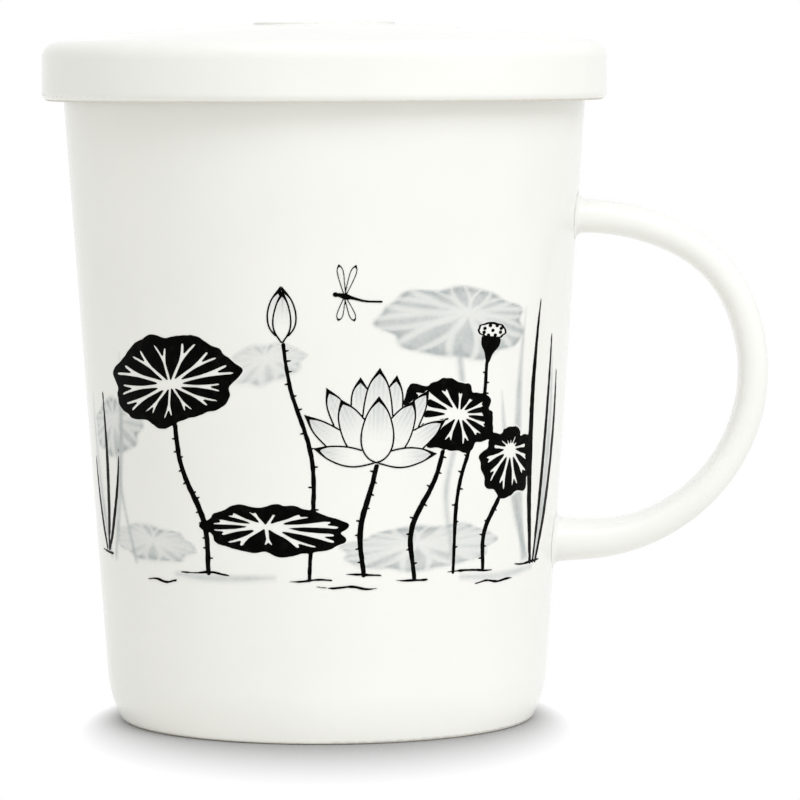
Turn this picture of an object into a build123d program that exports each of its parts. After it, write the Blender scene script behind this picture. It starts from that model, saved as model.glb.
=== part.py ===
from build123d import *
from math import cos, radians, sin, sqrt, tan
import os

# A lidded tea mug of glazed porcelain in four pieces: the mug body, the handle luted to its
# side, the perforated infuser that hangs from the rim, and the cap lid over rim and infuser.
# Millimetres. The origin is the centre of the foot where it stands, Z is the mug's axis and
# the handle points along +X.

# Mug body
mug_height = 103.5  # foot to rim
rim_radius = 42.35  # outside, at the rim
wall_taper = 3.97  # degrees between the wall and the axis
wall = 3.0
floor = 4.5
rim_rounding = 1.1
bore_corner = 9.0  # inside, between wall and floor
tuck_height = 7.6  # the wall curves in below this height
tuck = 1.75  # how far the foot lies inside the line of the wall
foot_ring = 3.0  # width of the ring that the mug stands on
foot_recess = 1.5
foot_rounding = 1.2
recess_rounding = 0.6

# Infuser
flange_inset = 0.5  # the flange's edge lies this far inside the mug's
flange_thickness = 2.6
flange_rounding = 0.9
flange_root = 0.6
basket_clearance = 1.2  # between the basket and the mug's wall
basket_wall = 2.4
basket_depth = 68.0  # below the rim
basket_corner = 8.0
mouth_rounding = 1.4
hole_radius = 1.0
floor_hole_pitch = 6.5
side_hole_pitch = 6.0  # between rows
side_rows = 4
holes_per_row = 24

# Lid
lid_clearance = 0.7  # between the skirt and the mug's rim
skirt_wall = 2.6
skirt_overlap = 3.2  # the skirt reaches this far below the rim
skirt_rounding = 1.3
skirt_inner_rounding = 0.6
lid_edge = 3.5  # plate above its seat, at the edge
lid_rise = 3.03  # dome above the edge
lid_edge_rounding = 2.8
lid_seat_width = 7.0
lid_hollow = 2.8  # rise of the underside inside the seat
lid_corner = 1.0
pad_radius = 11.5
pad_height = 0.2  # above the top of the dome
pad_rounding = 0.15
pad_root = 0.2

# Handle
handle_drop = 22.0  # middle of the upper arm below the rim
upper_run = 0.5  # straight part of the upper arm, outside the wall
shoulder_radius = 35.2
shoulder_turn = 28.3  # degrees
bow_radius = 20.3
bow_turn = 36.3
arm_radius = 27.5  # the lower arm, which turns until it is level
root_depth = 3.0  # how far the arms run into the wall before they are trimmed to it
root_rounding = 1.2
strap = {  # thickness and width of the strap at each fraction of its length
    0.0: (5.7, 12.5),
    0.25: (5.2, 11.0),
    0.5: (4.8, 10.5),
    0.75: (5.1, 11.0),
    1.0: (7.8, 13.0),
}
strap_roundness = 0.92  # the rounded edges' diameter as a share of the thickness


def wall_radius(height):
    """Outside radius of the straight wall."""
    return rim_radius - (mug_height - height) * tan(radians(wall_taper))


def bore_radius(height):
    return wall_radius(height) - wall / cos(radians(wall_taper))


def basket_radius(height):
    return bore_radius(height) - basket_clearance


def strap_corner(thickness, width):
    """Where the strap's crowned face runs into its rounded edge, from the strap's middle."""
    edge_radius = strap_roundness * thickness / 2
    edge_centre = width / 2 - edge_radius
    crown = (edge_centre**2 + thickness**2 / 4 - edge_radius**2) / (thickness - 2 * edge_radius)
    across = edge_centre * crown / (crown - edge_radius)
    up = edge_radius * (crown - thickness / 2) / (crown - edge_radius)
    return across, up


def corner(sketch, point):
    """The outline's corner at a point, so that it can be rounded."""
    return sketch.vertices().sort_by_distance(point)[0]


foot_radius = wall_radius(0) - tuck
floor_top = foot_recess + floor
lid_seat = mug_height + flange_thickness
basket_floor = mug_height - basket_depth
skirt_radius = rim_radius + lid_clearance
lid_radius = skirt_radius + skirt_wall
dome_top = lid_seat + lid_edge + lid_rise


def dome_height(radius):
    """Height of the lid's dome, part of a sphere, at a distance from the axis."""
    sphere = (lid_radius**2 + lid_rise**2) / (2 * lid_rise)
    return dome_top - sphere + sqrt(sphere**2 - radius**2)


# The mug's outer form, without its hollow: the handle is trimmed to it
with BuildPart() as mug_form:
    with BuildSketch(Plane.XZ) as section:
        with BuildLine():
            foot = Line((0, 0), (foot_radius, 0))
            shoulder = (wall_radius(tuck_height), tuck_height)
            down_the_wall = (-sin(radians(wall_taper)), -cos(radians(wall_taper)))
            TangentArc(shoulder, foot @ 1, tangent=down_the_wall)
            side = Line(shoulder, (rim_radius, mug_height))
            rim = Line(side @ 1, (0, mug_height))
            Line(rim @ 1, foot @ 0)
        make_face()
        fillet(corner(section, foot @ 1), foot_rounding)
    revolve(axis=Axis.Z)

# Mug body
with BuildPart() as mug_body:
    add(mug_form.part)
    with BuildSketch(Plane.XZ) as hollow:
        with BuildLine():
            mouth = Line((0, mug_height), (bore_radius(mug_height), mug_height))
            bore = Line(mouth @ 1, (bore_radius(floor_top), floor_top))
            bottom = Line(bore @ 1, (0, floor_top))
            Line(bottom @ 1, mouth @ 0)
        make_face()
        fillet(corner(hollow, bore @ 1), bore_corner)
    revolve(axis=Axis.Z, mode=Mode.SUBTRACT)
    fillet(mug_body.edges().filter_by(GeomType.CIRCLE).group_by(Axis.Z)[-1], rim_rounding)
    with BuildSketch(Plane.XY):
        Circle(foot_radius - foot_ring)
    extrude(amount=foot_recess, mode=Mode.SUBTRACT)
    recess_edge = mug_body.faces().sort_by(Axis.Z)[0].inner_wires()[0].edges()
    fillet(recess_edge, recess_rounding)

# Infuser: a flange, a tapering basket and its holes
with BuildPart() as infuser:
    with BuildSketch(Plane.XZ) as section:
        with BuildLine():
            base = Line((0, basket_floor), (basket_radius(basket_floor), basket_floor))
            outside = Line(base @ 1, (basket_radius(mug_height), mug_height))
            seat = Line(outside @ 1, (rim_radius - flange_inset, mug_height))
            edge = Line(seat @ 1, (rim_radius - flange_inset, lid_seat))
            top = Line(edge @ 1, (basket_radius(lid_seat) - basket_wall, lid_seat))
            inner_floor = basket_floor + basket_wall
            inside = Line(top @ 1, (basket_radius(inner_floor) - basket_wall, inner_floor))
            bottom = Line(inside @ 1, (0, inner_floor))
            Line(bottom @ 1, base @ 0)
        make_face()
        fillet(corner(section, base @ 1), basket_corner)
        fillet(corner(section, inside @ 1), basket_corner - basket_wall)
        fillet(corner(section, outside @ 1), flange_root)
        fillet(corner(section, seat @ 1), flange_rounding)
        fillet(corner(section, edge @ 1), flange_rounding)
        fillet(corner(section, top @ 1), mouth_rounding)
    revolve(axis=Axis.Z)

    flat_floor = basket_radius(basket_floor) - basket_corner
    with BuildSketch(Plane.XY.offset(basket_floor)):
        Circle(hole_radius)
        for ring in range(1, int((flat_floor - hole_radius) / floor_hole_pitch) + 1):
            with PolarLocations(ring * floor_hole_pitch, 6 * ring):
                Circle(hole_radius)
    extrude(amount=basket_wall, mode=Mode.SUBTRACT)

    for row in range(side_rows):
        row_height = basket_floor + basket_corner + (row + 0.5) * side_hole_pitch
        stagger = (row % 2) * 180 / holes_per_row
        with Locations((0, 0, row_height)):
            with PolarLocations(basket_radius(row_height), holes_per_row, stagger):
                Cylinder(hole_radius, 4 * basket_wall, rotation=(0, 90, 0), mode=Mode.SUBTRACT)

# Lid: a domed cap with a skirt round the rim and a low round pad on top
with BuildPart() as lid:
    with BuildSketch(Plane.XZ) as section:
        with BuildLine():
            pad = Line((0, dome_top + pad_height), (pad_radius, dome_top + pad_height))
            pad_side = Line(pad @ 1, (pad_radius, dome_height(pad_radius)))
            halfway = (pad_radius + lid_radius) / 2
            dome = ThreePointArc(
                pad_side @ 1, (halfway, dome_height(halfway)), (lid_radius, dome_height(lid_radius))
            )
            side = Line(dome @ 1, (lid_radius, mug_height - skirt_overlap))
            hem = Line(side @ 1, (skirt_radius, mug_height - skirt_overlap))
            inside = Line(hem @ 1, (skirt_radius, lid_seat))
            seat = Line(inside @ 1, (skirt_radius - lid_seat_width, lid_seat))
            hollow = TangentArc((0, lid_seat + lid_hollow), seat @ 1, tangent=(1, 0))
            Line(hollow @ 0, pad @ 0)
        make_face()
        fillet(corner(section, pad @ 1), pad_rounding)
        fillet(corner(section, pad_side @ 1), pad_root)
        fillet(corner(section, dome @ 1), lid_edge_rounding)
        fillet(corner(section, side @ 1), skirt_rounding)
        fillet(corner(section, hem @ 1), skirt_inner_rounding)
        fillet(corner(section, inside @ 1), lid_corner)
    revolve(axis=Axis.Z)

# Handle: a strap bowed into an ear, blended into the mug's wall and trimmed to it
with BuildPart() as handle:
    upper_height = mug_height - handle_drop
    upper_root = (wall_radius(upper_height) - root_depth, upper_height)
    with BuildLine(Plane.XZ) as spine:
        upper = Line(upper_root, (wall_radius(upper_height) + upper_run, upper_height))
        shoulder = JernArc(upper @ 1, upper % 1, shoulder_radius, -shoulder_turn)
        bow = JernArc(shoulder @ 1, shoulder % 1, bow_radius, -bow_turn)
        arm = JernArc(bow @ 1, bow % 1, arm_radius, shoulder_turn + bow_turn - 180)
        lower_height = (arm @ 1).Z
        Line(arm @ 1, (wall_radius(lower_height) - root_depth, lower_height))
    for place, (thickness, width) in strap.items():
        across = Plane(origin=spine.line @ place, x_dir=(0, 1, 0), z_dir=spine.line % place)
        meet, rise = strap_corner(thickness, width)
        with BuildSketch(across):
            with BuildLine():
                face = ThreePointArc((-meet, rise), (0, thickness / 2), (meet, rise))
                edge = ThreePointArc(face @ 1, (width / 2, 0), (meet, -rise))
                back = ThreePointArc(edge @ 1, (0, -thickness / 2), (-meet, -rise))
                ThreePointArc(back @ 1, (-width / 2, 0), face @ 0)
            make_face()
    sweep(multisection=True)
    add(mug_form.part)
    fillet(handle.edges(Select.NEW), root_rounding)
    add(mug_form.part, mode=Mode.SUBTRACT)

for name, piece in (
    ("mug_body", mug_body),
    ("handle", handle),
    ("infuser", infuser),
    ("lid", lid),
):
    piece.part.label = name
    os.makedirs("parts", exist_ok=True)
    export_step(piece.part, f"parts/{name}.step")
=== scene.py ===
import math

import bpy
import numpy as np
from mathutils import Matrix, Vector


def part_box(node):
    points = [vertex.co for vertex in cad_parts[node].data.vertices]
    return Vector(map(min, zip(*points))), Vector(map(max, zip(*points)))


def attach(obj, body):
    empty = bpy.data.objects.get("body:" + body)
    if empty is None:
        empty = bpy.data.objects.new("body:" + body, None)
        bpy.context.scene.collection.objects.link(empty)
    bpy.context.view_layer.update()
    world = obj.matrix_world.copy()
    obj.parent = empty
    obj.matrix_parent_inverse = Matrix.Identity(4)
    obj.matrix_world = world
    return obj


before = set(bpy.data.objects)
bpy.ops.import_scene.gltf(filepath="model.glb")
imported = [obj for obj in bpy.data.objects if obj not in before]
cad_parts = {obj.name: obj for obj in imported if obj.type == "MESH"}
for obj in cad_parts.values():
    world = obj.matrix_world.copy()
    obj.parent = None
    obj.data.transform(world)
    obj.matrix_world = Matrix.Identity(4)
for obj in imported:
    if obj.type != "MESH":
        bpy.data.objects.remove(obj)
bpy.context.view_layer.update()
MM = 0.001

# ---------------------------------------------------------------- camera
# The eye is a little above the lid's lower edge and to the handle's side of the axis.
EYE = Vector((12.22, -765.0, 107.5)) * MM
PITCH_DOWN = math.radians(4.18)
ROLL = math.radians(0.2)
LENS = 212.3
SENSOR = 36.0


def make_camera():
    data = bpy.data.cameras.new("camera")
    data.lens = LENS
    data.sensor_width = SENSOR
    data.clip_start = 50 * MM
    camera = bpy.data.objects.new("camera", data)
    camera.location = EYE
    camera.rotation_euler = (math.radians(90) - PITCH_DOWN, ROLL, 0)
    bpy.context.scene.collection.objects.link(camera)
    bpy.context.scene.camera = camera


# ---------------------------------------------------------------- shader helpers
def node(tree, kind, inputs=None, **settings):
    """A shader node. An input given as a socket is linked, and any other value is set."""
    made = tree.nodes.new("ShaderNode" + kind)
    for name, value in settings.items():
        setattr(made, name, value)
    for name, value in (inputs or {}).items():
        socket = made.inputs[name]
        if isinstance(value, bpy.types.NodeSocket):
            tree.links.new(value, socket)
        else:
            socket.default_value = value
    return made


def math_node(tree, operation, a, b=0.0):
    return node(tree, "Math", {0: a, 1: b}, operation=operation).outputs[0]


def ramp(tree, value, low, high, to_low=0.0, to_high=1.0, kind="LINEAR"):
    """The value carried from one range to another, and held at its ends."""
    spans = {"Value": value, "From Min": low, "From Max": high, "To Min": to_low, "To Max": to_high}
    return node(tree, "MapRange", spans, interpolation_type=kind).outputs[0]


def blend_value(tree, share, first, second):
    return node(tree, "Mix", {0: share, 2: first, 3: second}).outputs[0]


def blend_colour(tree, share, first, second):
    return node(tree, "MixRGB", {"Fac": share, "Color1": first, "Color2": second}).outputs[0]


def noise(tree, place, scale, detail=2.0, roughness=0.5):
    """Noise by position in millimetres; scale is in waves per millimetre."""
    inputs = {"Vector": place, "Scale": scale, "Detail": detail, "Roughness": roughness}
    return node(tree, "TexNoise", inputs).outputs["Fac"]


def mottle(tree, place, scale, detail, spread, low=0.0, high=1.0, roughness=0.5):
    """Noise carried to a range, from as far below its middle, 0.5, to as far above it."""
    return ramp(tree, noise(tree, place, scale, detail, roughness), 0.5 - spread, 0.5 + spread, low, high)


def distance(tree, place):
    return node(tree, "VectorMath", {0: place}, operation="LENGTH").outputs["Value"]


def millimetres(tree):
    """Places on the part's own frame, in millimetres."""
    place = node(tree, "TexCoord").outputs["Object"]
    return node(tree, "VectorMath", {0: place, 3: 1 / MM}, operation="SCALE").outputs[0]


def bump(tree, height):
    """The normal of a surface with this relief, in millimetres."""
    return node(tree, "Bump", {"Height": height, "Distance": MM, "Strength": 1.0}).outputs[0]


def new_material(name):
    material = bpy.data.materials.new(name)
    material.use_nodes = True
    material.node_tree.nodes.clear()
    return material, material.node_tree


def finish_material(tree, shader):
    output = node(tree, "OutputMaterial")
    tree.links.new(shader.outputs[0], output.inputs["Surface"])


# ---------------------------------------------------------------- porcelain
# Scales are in waves per millimetre, and heights and widths in millimetres.
GLAZE_WHITE = (0.925, 0.925, 0.900, 1)
GLAZE_SHADE = (0.902, 0.902, 0.878, 1)
GLAZE_IOR = 1.5
GLAZE_SPECULAR = 0.35
GLAZE_SMOOTHEST = 0.09
GLAZE_ROUGHEST = 0.15
CLOUD_SCALE = 0.045
GLOSS_SCALE = 0.12
WAVE_SCALE = 0.07
WAVE_HEIGHT = 0.05
PEEL_SCALE = 0.9
PEEL_HEIGHT = 0.0016

# Iron specks, one in each cell whose random number is high enough
SPECK = (0.46, 0.40, 0.32, 1)
SPECK_STRENGTH = 0.3
SPECK_CELLS = 0.1  # per millimetre
SPECK_CORE = 0.008  # in cells
SPECK_RADIUS = 0.016
SPECK_NONE = 0.72
SPECK_FULL = 0.74

# What the forming leaves
RING_SCALE = 0.35
RING_HEIGHT = 0.012
SEAM_HALF_WIDTH = 0.5
SEAM_WEAR_SCALE = 0.15
SEAM_LOWEST = 0.004
SEAM_HIGHEST = 0.02

# Bare clay where a piece stood in the kiln
BISQUE = (0.80, 0.775, 0.715, 1)
BISQUE_SHADE = (0.70, 0.665, 0.60, 1)
BISQUE_SCALE = 1.6
BISQUE_ROUGHNESS = 0.85
GRIT_SCALE = 4.0
GRIT_HEIGHT = 0.03
COARSE = 0.7  # how strong the finest waves of bisque and grit are
BARE_EDGE = 0.3  # height of the bare edge above what the piece stands on
BARE_EDGE_SCALE = 0.8
BARE_EDGE_WOBBLE = 0.12
BARE_EDGE_SOFT = 0.04
NEVER_BARE = -1.0


def glaze_colour(tree, place):
    """Warm white with a faint cloudiness and a few pale iron specks."""
    cloud = mottle(tree, place, CLOUD_SCALE, 3, 0.15)
    white = blend_colour(tree, cloud, GLAZE_SHADE, GLAZE_WHITE)
    cells = node(tree, "TexVoronoi", {"Vector": place, "Scale": SPECK_CELLS})
    near = ramp(tree, cells.outputs["Distance"], SPECK_CORE, SPECK_RADIUS, 1, 0)
    chance = node(tree, "SeparateColor", {0: cells.outputs["Color"]}).outputs[0]
    kept = ramp(tree, chance, SPECK_NONE, SPECK_FULL)
    speck = math_node(tree, "MULTIPLY", math_node(tree, "MULTIPLY", near, kept), SPECK_STRENGTH)
    return blend_colour(tree, speck, white, SPECK)


def glaze_roughness(tree, place):
    return mottle(tree, place, GLOSS_SCALE, 3, 0.2, GLAZE_SMOOTHEST, GLAZE_ROUGHEST)


def glaze_relief(tree, place):
    """Height in millimetres: slow undulation and a fine orange peel."""
    wave = math_node(tree, "MULTIPLY", noise(tree, place, WAVE_SCALE, 2), WAVE_HEIGHT)
    peel = math_node(tree, "MULTIPLY", noise(tree, place, PEEL_SCALE, 2), PEEL_HEIGHT)
    return math_node(tree, "ADD", wave, peel)


def turning_rings(tree, place):
    """Height in millimetres of the faint rings that a jigger leaves round the axis."""
    flat = node(tree, "VectorMath", {0: place, 1: (1, 1, 0)}, operation="MULTIPLY").outputs[0]
    height = node(tree, "SeparateXYZ", {0: place}).outputs["Z"]
    ring = node(tree, "CombineXYZ", {0: distance(tree, flat), 2: height}).outputs[0]
    return math_node(tree, "MULTIPLY", noise(tree, ring, RING_SCALE, 2), RING_HEIGHT)


def parting_line(tree, place):
    """Height in millimetres of the fettled seam that a two-part mould leaves at y = 0."""
    across = node(tree, "SeparateXYZ", {0: place}).outputs["Y"]
    away = math_node(tree, "ABSOLUTE", across)
    seam = ramp(tree, away, 0.0, SEAM_HALF_WIDTH, 1, 0, "SMOOTHSTEP")
    worn = mottle(tree, place, SEAM_WEAR_SCALE, 2, 0.15, SEAM_LOWEST, SEAM_HIGHEST)
    return math_node(tree, "MULTIPLY", seam, worn)


def porcelain(name, forming, bare_below):
    """Glazed porcelain, left unglazed where it stood in the kiln."""
    material, tree = new_material(name)
    place = millimetres(tree)
    height = node(tree, "SeparateXYZ", {0: place}).outputs["Z"]
    wobble = mottle(tree, place, BARE_EDGE_SCALE, 3, 0.5, -BARE_EDGE_WOBBLE, BARE_EDGE_WOBBLE)
    ragged = math_node(tree, "ADD", height, wobble)
    bare = ramp(tree, ragged, bare_below - BARE_EDGE_SOFT, bare_below + BARE_EDGE_SOFT, 1, 0)
    clay = blend_colour(tree, noise(tree, place, BISQUE_SCALE, 4, COARSE), BISQUE_SHADE, BISQUE)
    grit = math_node(tree, "MULTIPLY", noise(tree, place, GRIT_SCALE, 3, COARSE), GRIT_HEIGHT)
    glazed = math_node(tree, "ADD", glaze_relief(tree, place), forming(tree, place))
    finish_material(tree, node(tree, "BsdfPrincipled", {
        "Base Color": blend_colour(tree, bare, glaze_colour(tree, place), clay),
        "Roughness": blend_value(tree, bare, glaze_roughness(tree, place), BISQUE_ROUGHNESS),
        "IOR": GLAZE_IOR,
        "Specular IOR Level": GLAZE_SPECULAR,
        "Normal": bump(tree, blend_value(tree, bare, glazed, grit)),
    }))
    return material


def dress_frame():
    """Gives each CAD node its porcelain."""
    for name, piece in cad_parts.items():
        if name == "handle":
            material = porcelain("porcelain_" + name, parting_line, NEVER_BARE)
        else:
            stands_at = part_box(name)[0].z / MM
            material = porcelain("porcelain_" + name, turning_rings, stands_at + BARE_EDGE)
        for slot in piece.material_slots:
            slot.material = material


# ---------------------------------------------------------------- ink
INK = (0.0015, 0.0016, 0.0014, 1)
INK_THIN = (0.0060, 0.0064, 0.0055, 1)
INK_SCALE = 0.6
INK_SPECULAR = 0.015
INK_ROUGHER = 0.12  # than the glaze
WASH = (0.44, 0.475, 0.48, 1)
WASH_SCALE = 1.4
WASH_GRAIN = 0.12


def black_ink():
    """Dense black under the glaze, a little thinner in places."""
    material, tree = new_material("ink_black")
    place = millimetres(tree)
    thin = ramp(tree, noise(tree, place, INK_SCALE, 4, 0.65), 0.5, 0.75)
    finish_material(tree, node(tree, "BsdfPrincipled", {
        "Base Color": blend_colour(tree, thin, INK, INK_THIN),
        "Roughness": math_node(tree, "ADD", glaze_roughness(tree, place), INK_ROUGHER),
        "Specular IOR Level": INK_SPECULAR,
        "Normal": bump(tree, glaze_relief(tree, place)),
    }))
    return material


def pale_ink():
    """A wash whose strength each point of the mesh holds, down to bare glaze at its edges."""
    material, tree = new_material("ink_wash")
    place = millimetres(tree)
    strength = node(tree, "Attribute", attribute_name="ink").outputs["Fac"]
    grain = mottle(tree, place, WASH_SCALE, 3, 0.2, 1 - WASH_GRAIN, 1 + WASH_GRAIN, roughness=0.6)
    strength = math_node(tree, "MULTIPLY", strength, grain)
    finish_material(tree, node(tree, "BsdfPrincipled", {
        "Base Color": blend_colour(tree, strength, glaze_colour(tree, place), WASH),
        "Roughness": glaze_roughness(tree, place),
        "IOR": GLAZE_IOR,
        "Specular IOR Level": GLAZE_SPECULAR,
        "Normal": bump(tree, glaze_relief(tree, place)),
    }))
    return material


# ---------------------------------------------------------------- brushwork
# The print is painted flat, in millimetres along the wall and up it, and then laid on the wall.
PRINT_LEFT = -52.0
PRINT_RIGHT = 50.0
PRINT_LOW = 22.0
PRINT_HIGH = 78.0
CURVE_STEPS = 10  # between one point of a mark and the next
THINNEST = -0.2  # a mark whose width runs below zero ends there in a clean point
SMALLEST = 1e-6  # stands for zero where it would divide
STROKE_GRAIN = 1.3  # waves per millimetre of a stroke's rough edge
BRISTLES = 4.0  # per millimetre across a dry stroke
RUNS_OUT = 0.6  # millimetres by which a dry stroke's bristles differ
WASH_PATCH = 2.5  # millimetres across the uneven patches of a wash
WASH_EDGE = 0.8  # millimetres over which the edge of a wash fades
PETAL_STREAK = 0.7  # millimetres from one streak of a petal's tip to the next
DRY_RIM = 2.6  # width of the dry-brushed rim of a black leaf
CRINKLE = 0.16  # millimetres by which a black leaf's edges waver
VEIN_MARGIN = 1.3  # millimetres from a black leaf's rim to the tips of its veins
FORK = 0.45  # share of the way to the rim at which a vein forks


def smooth_line(points):
    """A Catmull-Rom curve through the points."""
    p = np.array(points, float)
    p = np.vstack([2 * p[0] - p[1], p, 2 * p[-1] - p[-2]])
    t = np.linspace(0, 1, CURVE_STEPS, endpoint=False)[:, None]
    spans = []
    for a, b, c, d in zip(p, p[1:], p[2:], p[3:]):
        bend = (2 * a - 5 * b + 4 * c - d) * t**2 + (3 * b - a - 3 * c + d) * t**3
        spans.append(0.5 * (2 * b + (c - a) * t + bend))
    return np.vstack([*spans, p[-2:-1]])


def patches(a, b, seed):
    """Smooth noise from 0 to 1 with features one unit across."""
    size = 64
    lattice = np.random.default_rng(seed).random((size, size))
    i, j = np.floor(a).astype(int), np.floor(b).astype(int)
    u, v = a - i, b - j
    u, v = u * u * (3 - 2 * u), v * v * (3 - 2 * v)

    def corner(di, dj):
        return lattice[(j + dj) % size, (i + di) % size]

    low = corner(0, 0) * (1 - u) + corner(1, 0) * u
    high = corner(0, 1) * (1 - u) + corner(1, 1) * u
    return low * (1 - v) + high * v


def rise(value, low, high):
    """0 below low and 1 above high, with a smooth step between."""
    t = np.clip((value - low) / (high - low), 0, 1)
    return t * t * (3 - 2 * t)


class Blade:
    """A brush mark along a smooth line, whose points are (across, up, width)."""

    def __init__(self, points):
        self.path = smooth_line(points)
        self.path[:, 2] = self.path[:, 2].clip(THINNEST)
        reach = self.path[:, 2].max() / 2
        self.low = self.path[:, :2].min(0) - reach
        self.high = self.path[:, :2].max(0) + reach

    def measure(self, s, z):
        """Distance outside the edge, share of the length, and distance to one side."""
        start, run = self.path[:-1], np.diff(self.path, axis=0)
        ds, dz = s[..., None] - start[:, 0], z[..., None] - start[:, 1]
        square = np.maximum(run[:, 0] ** 2 + run[:, 1] ** 2, SMALLEST**2)
        t = np.clip((ds * run[:, 0] + dz * run[:, 1]) / square, 0, 1)
        ds, dz = ds - t * run[:, 0], dz - t * run[:, 1]
        gap = np.hypot(ds, dz) - (start[:, 2] + t * run[:, 2]) / 2
        along = (np.arange(len(start)) + t) / len(start)
        side = (run[:, 0] * dz - run[:, 1] * ds) / np.sqrt(square)
        nearest = gap.argmin(-1)[..., None]
        return [np.take_along_axis(field, nearest, -1)[..., 0] for field in (gap, along, side)]


class Pad:
    """A lotus leaf seen aslant: an ellipse with a wavy rim, and its hub off the middle."""

    def __init__(self, centre, size, tilt=0.0, hub=(0.0, 0.25), wave=0.05, waves=7, turn=0.0):
        self.centre = np.array(centre, float)
        self.half = np.array(size, float) / 2
        self.tilt = math.radians(tilt)
        self.hub = np.array(hub)
        self.wave, self.waves, self.turn = wave, waves, turn
        reach = self.half.max() * (1 + 2 * wave)
        self.low, self.high = self.centre - reach, self.centre + reach

    def measure(self, s, z):
        """Distance outside the rim, angle about the hub, and share of the way to the rim."""
        ds, dz = s - self.centre[0], z - self.centre[1]
        c, d = math.cos(self.tilt), math.sin(self.tilt)
        x, y = (ds * c + dz * d) / self.half[0], (dz * c - ds * d) / self.half[1]
        angle = np.arctan2(y, x)
        ripple = np.sin(self.waves * angle + self.turn)
        ripple = ripple + 0.6 * np.sin((self.waves + 4) * angle + 2.1 * self.turn)
        rim = 1 + self.wave * ripple
        radius = np.maximum(np.hypot(x, y), SMALLEST)
        gap = (radius - rim) * np.hypot(ds, dz) / radius
        hx, hy = x - self.hub[0], y - self.hub[1]
        away = np.maximum(np.hypot(hx, hy), SMALLEST)
        toward = (self.hub[0] * hx + self.hub[1] * hy) / away
        whole = np.sqrt(toward**2 + rim**2 - self.hub @ self.hub) - toward
        return gap, np.arctan2(hy, hx), away / whole


class Sheet:
    """Ink over the print's place: how much of it lies at each point of a grid."""

    def __init__(self, cell):
        self.cell = cell
        self.across = np.arange(PRINT_LEFT, PRINT_RIGHT, cell)
        self.up = np.arange(PRINT_LOW, PRINT_HIGH, cell)
        self.ink = np.zeros((len(self.up), len(self.across)))

    def under(self, mark):
        """The part of the sheet near a mark, with its places."""
        margin = 1.5
        i = slice(*np.searchsorted(self.across, [mark.low[0] - margin, mark.high[0] + margin]))
        j = slice(*np.searchsorted(self.up, [mark.low[1] - margin, mark.high[1] + margin]))
        s, z = np.meshgrid(self.across[i], self.up[j])
        return (j, i), s, z

    def inside(self, gap, soft=None):
        """1 inside an outline and 0 outside, by the distance from it."""
        return np.clip(0.5 - gap / (soft or 2 * self.cell), 0, 1)

    def lay(self, where, amount):
        self.ink[where] = np.maximum(self.ink[where], amount)

    def tint(self, where, amount):
        """Adds a transparent wash to what is there."""
        self.ink[where] = 1 - (1 - self.ink[where]) * (1 - amount)

    def lift(self, where, amount):
        self.ink[where] *= 1 - amount

    def settle(self):
        """Lets the ink run together over a cell, so that no speck is smaller."""
        for axis in (0, 1):
            before, after = np.roll(self.ink, 1, axis), np.roll(self.ink, -1, axis)
            self.ink = self.ink / 2 + (before + after) / 4


# Each kind of mark has the fineness that it needs, in millimetres per cell
outlines = Sheet(0.13)
masses = Sheet(0.17)
washes = Sheet(0.3)


def hide(mark):
    """Lifts all ink from under a mark."""
    for sheet in (outlines, masses, washes):
        where, s, z = sheet.under(mark)
        sheet.lift(where, sheet.inside(mark.measure(s, z)[0]))


def stroke(sheet, *points, rough=0.12, dry=1.0, seed=1):
    """A black stroke, rough at its edge, that runs dry past a share of its length."""
    blade = Blade(points)
    where, s, z = sheet.under(blade)
    gap, along, side = blade.measure(s, z)
    gap = gap + rough * (patches(s * STROKE_GRAIN, z * STROKE_GRAIN, seed) - 0.5)
    if dry < 1:
        bristles = patches(side * BRISTLES, along * 6 + seed, seed + 1)
        gap = np.maximum(gap, (rise(along, dry, 1.0) - bristles) * RUNS_OUT)
    sheet.lay(where, sheet.inside(gap))


def outline(mark, width):
    """A fine line along the inside of a mark's edge."""
    where, s, z = outlines.under(mark)
    gap = mark.measure(s, z)[0]
    outlines.lay(where, outlines.inside(np.abs(gap + width / 2) - width / 2))


def wash(*points, tone=0.8, seed=1):
    """A stroke in pale wash."""
    blade = Blade(points)
    where, s, z = washes.under(blade)
    gap = blade.measure(s, z)[0]
    uneven = 0.75 + 0.35 * patches(s / WASH_PATCH, z / WASH_PATCH, seed)
    washes.tint(where, washes.inside(gap, WASH_EDGE) * tone * uneven)


def vein_gap(pad, gap, angle, share, count, width, first, margin=0.0):
    """Distance outside the nearest vein, which forks and ends a margin inside the rim."""
    step = 2 * math.pi / count
    off = np.abs((angle - first + step / 2) % step - step / 2)
    spread = 0.3 * step * np.clip(share - FORK, 0, 1) / (1 - FORK)
    wide, tall = pad.half
    reach = share * wide * tall / np.hypot(wide * np.cos(angle), tall * np.sin(angle))
    tip = np.sqrt(np.clip((-gap - margin) / 0.8, 0, 1))
    thickness = width * np.minimum(0.55 + 2.2 * share, 1.1 - 0.45 * share) * tip
    return np.where(tip > 0, np.abs(off - spread) * reach - thickness / 2, 1.0)


def dark_leaf(pad, veins=13, vein=0.5, first=0.2, seed=3):
    """A black leaf, its veins left white and its rim dry-brushed."""
    hide(pad)
    where, s, z = masses.under(pad)
    gap, angle, share = pad.measure(s, z)
    bristles = patches(angle * 7, share * 1.5, seed)
    ragged = rise(gap, -DRY_RIM, 0) * (bristles - 0.45)
    crinkled = gap + CRINKLE * (patches(s * 1.2, z * 1.2, seed + 1) - 0.5)
    white = vein_gap(pad, gap, angle, share, veins, vein, first, VEIN_MARGIN)
    masses.lay(where, masses.inside(np.maximum(crinkled + ragged, -white)))


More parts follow.
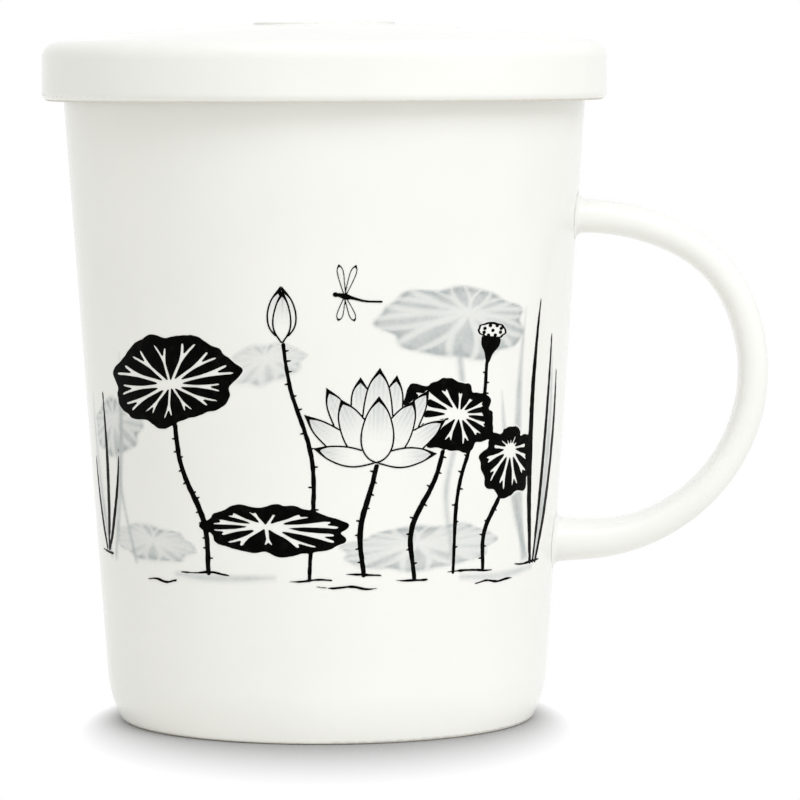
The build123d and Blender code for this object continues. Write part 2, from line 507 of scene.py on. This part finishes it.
def pale_leaf(pad, tone=0.8, veins=11, first=0.4, seed=5):
    """A leaf in pale wash, darker to its rim, with soft light veins."""
    where, s, z = washes.under(pad)
    gap, angle, share = pad.measure(s, z)
    flow = 0.5 + 0.35 * share + 0.3 * patches(angle * 4, share * 2.5, seed)
    pooled = 1 + 0.25 * np.exp(-((gap + 0.5) ** 2) / 0.2)
    veined = 0.45 + 0.55 * rise(vein_gap(pad, gap, angle, share, veins, 0.5, first), -0.1, 0.6)
    amount = np.clip(tone * flow * pooled * veined, 0, 1)
    washes.tint(where, washes.inside(gap, 0.7) * amount)


def petal(points, line=0.3, tone=0.8):
    """A petal in front of what is there: bare glaze, an outline and a tinted tip."""
    blade = Blade(points)
    hide(blade)
    where, s, z = outlines.under(blade)
    gap, along, side = blade.measure(s, z)
    width = line * (0.8 + 1.0 * rise(along, 0.72, 1.0))
    outlines.lay(where, outlines.inside(np.abs(gap + width / 2) - width / 2))
    where, s, z = washes.under(blade)
    gap, along, side = blade.measure(s, z)
    streaks = 0.7 + 0.3 * np.cos(side * 2 * math.pi / PETAL_STREAK)
    washes.tint(where, washes.inside(gap + 0.3, 0.6) * rise(along, 0.3, 0.95) * tone * streaks)


# ---------------------------------------------------------------- the lotus pond
def placed(points, place, heading=0.0):
    """A motif's points carried to their place on the print."""
    c, d = math.cos(math.radians(heading)), math.sin(math.radians(heading))
    return [(place[0] + s * c - z * d, place[1] + s * d + z * c, w) for s, z, w in points]


def stem(*points, prickles=12, seed=2):
    """A stem with its small prickles."""
    stroke(masses, *points, seed=seed)
    path = smooth_line(points)
    random = np.random.default_rng(seed)
    for k in np.linspace(3, len(path) - 4, prickles).astype(int):
        run = path[k + 1] - path[k]
        outward = np.array([-run[1], run[0]]) / np.hypot(run[0], run[1]) * random.choice([-1, 1])
        root = path[k][:2] + outward * path[k][2] * 0.4
        tip = root + outward * random.uniform(0.35, 0.6)
        stroke(outlines, (*root, 0.34), (*tip, 0.14), rough=0)


def reed(root, tip, width, bow):
    """Points of a long leaf that bows to one side on its way up."""
    root, tip = np.array(root, float), np.array(tip, float)
    rising = tip - root
    outward = np.array([-rising[1], rising[0]])
    shape = ((0, 0.6), (0.25, 1.0), (0.55, 0.9), (0.8, 0.5), (1, -0.15))
    return [(*(root + rising * k + outward * bow * 2 * k * (1 - k)), width * w) for k, w in shape]


def water(height, left, right, seed):
    """A short line of water, thick in the middle."""
    places = np.linspace(left, right, 5)
    drift = np.random.default_rng(seed).uniform(-0.25, 0.25, 5)
    widths = (0.08, 0.3, 0.36, 0.3, 0.05)
    stroke(outlines, *zip(places, height + drift, widths), dry=0.6, seed=seed)


def bloom(place):
    """An open flower, painted from its back petals to its front ones."""
    # each petal's belly and tip, from the flower's heart, and how wide it is
    petals = (
        ((-2.5, 9.0), (-2.6, 12.4), 3.8), ((2.6, 9.0), (3.1, 12.6), 3.8),
        ((-6.2, 7.6), (-7.8, 10.8), 3.6), ((6.4, 7.2), (8.4, 10.2), 3.6),
        ((0.2, 9.8), (0.4, 13.8), 4.6),
        ((-8.4, 4.2), (-11.2, 6.6), 3.4), ((8.4, 3.6), (11.4, 5.4), 3.4),
        ((-4.2, 5.8), (-5.6, 9.0), 4.4), ((4.4, 5.6), (6.0, 8.6), 4.4),
        ((-6.8, 0.6), (-9.8, 1.4), 3.0), ((6.8, 0.0), (10.0, 0.2), 3.0),
        ((0.2, 5.6), (0.3, 9.4), 5.0),
    )
    for belly, tip, width in petals:
        low = (belly[0] * 0.55, belly[1] * 0.45 - 0.3, width * 1.05)
        petal(placed([(0, -0.4, 1.2), low, (*belly, width * 0.85), (*tip, 0.15)], place))


def bud(place):
    for lean in (-0.9, 0.9):
        petal(placed([(0, 0, 1), (lean, 2.4, 2.6), (lean, 5.2, 2), (lean * 0.1, 8.1, 0.1)], place))
    petal(placed([(0, -0.3, 0.8), (0, 2, 2.9), (0.1, 4.6, 2.3), (0.2, 7.5, 0.1)], place))


def seed_pod(place):
    """A funnel whose seeds show in its top."""
    funnel = [(0, 0, 0.9), (0.15, 1.2, 1.7), (0.35, 2.4, 3.0), (0.5, 3.2, 4.2)]
    stroke(masses, *placed(funnel, place), seed=8)
    top = Pad((place[0] + 0.7, place[1] + 4.6), (6.0, 2.6), tilt=-6, wave=0.03, turn=2)
    hide(top)
    outline(top, 0.36)
    for distance, count in ((0.0, 1), (0.62, 8)):
        for turn in np.arange(count) * 2 * math.pi / count + 0.3:
            spot = top.centre + top.half * distance * np.array([math.cos(turn), math.sin(turn)])
            stroke(outlines, (*spot, 0.5), (spot[0] + 0.15, spot[1], 0.5), rough=0)


def dragonfly(place, heading):
    """A dragonfly on the wing."""
    for tip in ((-1.9, 4.6), (0.6, 5.0), (2.2, -3.4), (-0.2, -3.8)):
        wing = [(tip[0] * k, tip[1] * k, w) for k, w in ((0, 0.25), (0.45, 0.8), (0.8, 1.0), (1, 0.2))]
        petal(placed(wing, place, heading=heading), line=0.17, tone=0.35)
    body = [(-0.9, 0.05, 0.6), (0.2, 0, 0.85), (1.1, 0, 0.5), (3.2, -0.1, 0.32), (5.6, 0.3, 0.3)]
    head = [(-1.5, 0, 0.7), (-1.35, 0, 0.7)]
    for mark in (body, head):
        stroke(outlines, *placed(mark, place, heading=heading), rough=0)


def paint_distance():
    """The pale leaves, reeds and water behind."""
    pale_leaf(Pad((22, 66), (27, 11), tilt=-5, hub=(0.1, 0.3), turn=4), tone=0.9)
    pale_leaf(Pad((-40, 49), (16, 9), tilt=10, hub=(0, 0.3), turn=2), tone=0.9, seed=6)
    pale_leaf(Pad((17, 31), (28, 7), tilt=2, hub=(-0.1, 0.2), turn=7), tone=0.8, seed=7)
    pale_leaf(Pad((-32, 31), (20, 5.6), tilt=-2, hub=(0.1, 0.2), turn=8), tone=0.75, seed=8)
    pale_leaf(Pad((-9, 60), (13, 6), tilt=12, hub=(0.1, 0.3), turn=1), tone=0.65, seed=9)
    wash((22, 62, 1.1), (23, 52, 0.9), (20.5, 40, 0.9), (22, 30, 0.8), tone=0.7)
    wash((-40, 46, 0.9), (-39, 38, 0.9), (-36, 28, 0.8), tone=0.7)
    wash(*reed((39, 28), (36, 68), 1.8, 0.10), seed=1)
    wash(*reed((43, 28), (45, 62), 1.7, -0.12), seed=2)
    wash(*reed((40, 28), (31, 55), 1.5, 0.10), seed=3)
    wash(*reed((-45, 28), (-49, 54), 1.5, 0.10), seed=4)
    wash(*reed((-43, 28), (-37, 61), 1.5, -0.08), seed=5)
    wash((-26, 26.5, 0.6), (-18, 26.2, 1.1), (-8, 26.6, 0.6), tone=0.6)
    wash((24, 26.0, 0.6), (32, 25.6, 1.1), (42, 26.2, 0.6), tone=0.6)


def paint_plants():
    """The stems, then the leaves and flowers that they carry, and the reeds at both ends."""
    stem((-25, 54, 0.9), (-24, 44, 0.9), (-20, 35, 1.0), (-19.5, 27, 0.8), prickles=15)
    stem((-6, 64.5, 0.6), (-4.8, 56, 0.6), (-1.5, 44, 0.7), (-2.2, 26.4, 0.6), seed=4)
    stem((20.5, 50, 0.7), (18.5, 42, 0.8), (14.5, 34, 0.9), (15.2, 26.2, 0.7), prickles=9, seed=7)
    stem((33, 47, 0.8), (32.5, 40, 0.8), (28.5, 33, 0.9), (28.5, 27, 0.7), prickles=9, seed=5)
    stem((27.5, 60.5, 0.6), (26.8, 52, 0.6), (22.8, 40, 0.7), (22.3, 26.8, 0.6), seed=6)
    dark_leaf(Pad((-26, 57), (26, 14), tilt=8, hub=(0.05, -0.1), turn=1))
    dark_leaf(Pad((-8, 34), (24, 8), tilt=-2, hub=(-0.1, 0.15), turn=5), veins=11, vein=0.5, seed=9)
    dark_leaf(Pad((20.5, 51.5), (18, 11), tilt=-10, hub=(0.2, 0.1), turn=3), vein=0.45, seed=12)
    drooping = Pad((33.5, 43.5), (13, 11), tilt=-6, hub=(0.0, 0.4), wave=0.06, waves=8, turn=2)
    dark_leaf(drooping, veins=13, vein=0.45, seed=15)
    stem((9, 46, 0.8), (7.8, 41, 0.8), (6, 34, 0.9), (6.6, 27, 0.7), prickles=9, seed=3)
    bloom((8.5, 45.5))
    bud((-6, 64))
    seed_pod((27.6, 60))
    dragonfly((3.5, 70.5), -12)
    stroke(masses, *reed((41.5, 27), (40.5, 73), 1.3, 0.08), seed=1)
    stroke(masses, *reed((43.5, 27), (47.5, 60), 1.2, -0.14), seed=2)
    stroke(masses, *reed((42.5, 27), (44.5, 68), 1.0, -0.05), seed=3)
    stroke(masses, *reed((-46, 29), (-44, 57), 1.1, -0.08), seed=4)
    stroke(masses, *reed((-47, 29), (-50, 45), 1.0, 0.10), seed=5)
    stroke(masses, *reed((-45.5, 29), (-39, 47), 0.9, -0.12), seed=6)


def paint_water():
    lines = (
        (28.6, -50, -41), (25.2, -33, -24), (27.0, -25, -13), (26.2, -6, 4), (25.0, -1, 10),
        (27.0, 3, 12), (26.0, 12, 19), (26.8, 20.5, 32), (24.8, 27, 37), (27.0, 36, 47),
    )
    for seed, (height, left, right) in enumerate(lines):
        water(height, left, right, seed)


# ---------------------------------------------------------------- the print on the wall
PRINT_MIDDLE = 50.0  # height at which the flat print's millimetres are the wall's own
PRINT_BACK = -0.05  # the back of the print's skin, inside the wall's surface
BELOW_RIM = 10.0  # the wall's slope is measured to points at least this far below the rim
SHORTEST = 0.02  # a border stays this share of a cell away from the grid's points


def wall_line():
    """The straight wall's radius at height zero, and how it grows with height."""
    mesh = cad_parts["mug_body"].data
    places = [(v.co.xy.length / MM, v.co.z / MM) for v in mesh.vertices]
    widest, top = max(places)
    growth = min((widest - r) / (top - z) for r, z in places if z < top - BELOW_RIM)
    return widest - growth * top, growth


def contour(sheet, level):
    """The area with more ink than a level: points, polygons, and edges along its border."""
    busy = sheet.ink > level
    points, number, polygons, border = [], {}, [], []

    def at(a, b):
        """The number of grid point a, or of the border's crossing between a and b."""
        key = (a, b) if a < b else (b, a)
        if key not in number:
            number[key] = len(points)
            (i, j), (next_i, next_j) = key
            first, last = sheet.ink[j, i], sheet.ink[next_j, next_i]
            share = 0.0
            if a != b:
                share = np.clip((level - first) / (last - first), SHORTEST, 1 - SHORTEST)
            across = sheet.across[i] + share * sheet.cell * (next_i - i)
            up = sheet.up[j] + share * sheet.cell * (next_j - j)
            points.append((across, up, first + share * (last - first)))
        return number[key]

    near = busy[:-1, :-1] | busy[1:, :-1] | busy[:-1, 1:] | busy[1:, 1:]
    for j, i in np.argwhere(near).tolist():
        corners = [(i, j), (i + 1, j), (i + 1, j + 1), (i, j + 1)]
        polygon, leaving = [], []
        for a, b in zip(corners, corners[1:] + corners[:1]):
            here, there = busy[a[1], a[0]], busy[b[1], b[0]]
            if here:
                polygon.append(at(a, a))
            if here != there:
                if here:
                    leaving.append(len(polygon))
                polygon.append(at(a, b))
        polygons.append(polygon)
        border += [(polygon[k], polygon[(k + 1) % len(polygon)]) for k in leaving]
    return points, polygons, border


def lay_print(name, sheet, level, proud, material):
    """The sheet's ink as a closed skin on the wall, standing proud of it by a hair."""
    points, polygons, border = contour(sheet, level)
    foot, growth = wall_line()
    middle = foot + growth * PRINT_MIDDLE

    def on_wall(across, up, out):
        radius = foot + growth * up + out
        turn = across / middle
        return radius * math.sin(turn) * MM, -radius * math.cos(turn) * MM, up * MM

    face = [on_wall(s, z, proud) for s, z, ink in points]
    back = [on_wall(s, z, PRINT_BACK) for s, z, ink in points]
    count = len(points)
    skins = polygons + [[count + k for k in reversed(polygon)] for polygon in polygons]
    sides = [(b, a, count + a, count + b) for a, b in border]
    mesh = bpy.data.meshes.new(name)
    mesh.from_pydata(face + back, [], skins + sides)
    strength = mesh.attributes.new("ink", "FLOAT", "POINT")
    strength.data.foreach_set("value", [ink for s, z, ink in points] * 2)
    mesh.shade_smooth()
    mesh.set_sharp_from_angle(angle=math.radians(30))
    mesh.materials.append(material)
    piece = bpy.data.objects.new(name, mesh)
    bpy.context.scene.collection.objects.link(piece)
    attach(piece, "mug")


def make_print():
    paint_distance()
    paint_plants()
    paint_water()
    masses.settle()
    black = black_ink()
    lay_print("print_wash", washes, level=0.03, proud=0.02, material=pale_ink())
    lay_print("print_masses", masses, level=0.5, proud=0.04, material=black)
    lay_print("print_outlines", outlines, level=0.5, proud=0.06, material=black)


# ---------------------------------------------------------------- studio
AMBIENT = 0.632
AMBIENT_TINT = (1, 0.995, 0.945, 1)
LAMP_COLOUR = (0.985, 0.985, 1.03)
LAMP_DISTANCE = 1.4
LAMP_AIM = Vector((0, 0, 60)) * MM
# A lamp's level is how strongly it lights a surface that faces it
KEY_LEVEL = 0.394
KEY_AZIMUTH = math.radians(36)
KEY_ELEVATION = math.radians(46)
KEY_SIZE = 0.7
OVERHEAD_LEVEL = 0.135
OVERHEAD_AZIMUTH = math.radians(-20)
OVERHEAD_ELEVATION = math.radians(65)
OVERHEAD_SIZE = 0.9
FLOOR_SIZE = 60.0
FLOOR_PALE = (0.94, 0.94, 0.92, 1)  # what lights the part from below
# Painted shade: a darker floor colour that the camera sees round the foot, which deepens the real shadow
# there
FLOOR_PAINTED_SHADE = (0.35, 0.35, 0.35, 1)  # what the camera sees in the shade
# The painted shade on the floor, in millimetres: it fades from a circle about the axis to an oval
SHADE_START = 32.5  # the circle's radius
SHADE_REACH = 39.2  # half the oval's width
SHADE_AHEAD = 12.0  # from the axis to the oval's middle, towards the front
SHADE_DEPTH = 0.63  # the oval's width as a share of its depth


def seen_directly(tree):
    """1 for the camera's rays, and for what is seen mirrored or through glass."""
    path = node(tree, "LightPath").outputs
    mirrored = math_node(tree, "MAXIMUM", path["Is Glossy Ray"], path["Is Transmission Ray"])
    return math_node(tree, "MAXIMUM", path["Is Camera Ray"], mirrored)


def make_world():
    world = bpy.data.worlds.new("world")
    bpy.context.scene.world = world
    world.use_nodes = True
    tree = world.node_tree
    tree.nodes.clear()
    seen = seen_directly(tree)
    strength = blend_value(tree, seen, AMBIENT, 1.0)
    colour = blend_colour(tree, seen, AMBIENT_TINT, (1, 1, 1, 1))
    background = node(tree, "Background", {"Color": colour, "Strength": strength})
    output = node(tree, "OutputWorld")
    tree.links.new(background.outputs[0], output.inputs["Surface"])


def make_lamp(name, level, azimuth, elevation, size):
    """A square soft box that faces the part, at an azimuth from the front towards the handle."""
    data = bpy.data.lights.new(name, "AREA")
    data.shape = "SQUARE"
    data.size = size
    data.color = LAMP_COLOUR
    data.energy = level * math.pi**2 * LAMP_DISTANCE**2
    lamp = bpy.data.objects.new(name, data)
    outward = Vector((
        math.sin(azimuth) * math.cos(elevation),
        -math.cos(azimuth) * math.cos(elevation),
        math.sin(elevation),
    ))
    lamp.location = LAMP_AIM + outward * LAMP_DISTANCE
    lamp.rotation_euler = outward.to_track_quat("Z", "Y").to_euler()
    bpy.context.scene.collection.objects.link(lamp)


def above_zero(tree, a, b):
    """The difference of two values, or 0 where it is less."""
    return math_node(tree, "MAXIMUM", math_node(tree, "SUBTRACT", a, b), 0)


def make_floor():
    """A pale floor that keeps the real shadow round the foot, deepened there by painted shade, and is
    plain white beyond it.
    """
    half = FLOOR_SIZE / 2
    corners = [(-half, -half, 0), (half, -half, 0), (half, half, 0), (-half, half, 0)]
    mesh = bpy.data.meshes.new("floor")
    mesh.from_pydata(corners, [], [(0, 1, 2, 3)])
    floor = bpy.data.objects.new("floor", mesh)
    bpy.context.scene.collection.objects.link(floor)
    material, tree = new_material("floor")
    place = millimetres(tree)
    narrowed = {0: place, 1: (1, SHADE_DEPTH, 0), 2: (0, SHADE_DEPTH * SHADE_AHEAD, 0)}
    oval = node(tree, "VectorMath", narrowed, operation="MULTIPLY_ADD").outputs[0]
    outside = above_zero(tree, distance(tree, place), SHADE_START)
    inside = above_zero(tree, SHADE_REACH, distance(tree, oval))
    beyond = math_node(tree, "DIVIDE", outside, math_node(tree, "ADD", outside, inside))
    seen = seen_directly(tree)
    # Painted shade: near the foot the camera sees the darker floor colour, on top of the real shadow that
    # the lamps cast
    colour = blend_colour(tree, seen, FLOOR_PALE, FLOOR_PAINTED_SHADE)
    shaded = node(tree, "BsdfDiffuse", {"Color": colour}).outputs[0]
    white = node(tree, "Emission", {"Color": (1, 1, 1, 1)}).outputs[0]
    beyond = math_node(tree, "MULTIPLY", seen, beyond)
    finish_material(tree, node(tree, "MixShader", {0: beyond, 1: shaded, 2: white}))
    mesh.materials.append(material)


make_camera()
make_world()
make_lamp("key", KEY_LEVEL, KEY_AZIMUTH, KEY_ELEVATION, KEY_SIZE)
make_lamp("overhead", OVERHEAD_LEVEL, OVERHEAD_AZIMUTH, OVERHEAD_ELEVATION, OVERHEAD_SIZE)
make_floor()
dress_frame()
make_print()
bpy.context.scene.view_settings.view_transform = "Standard"
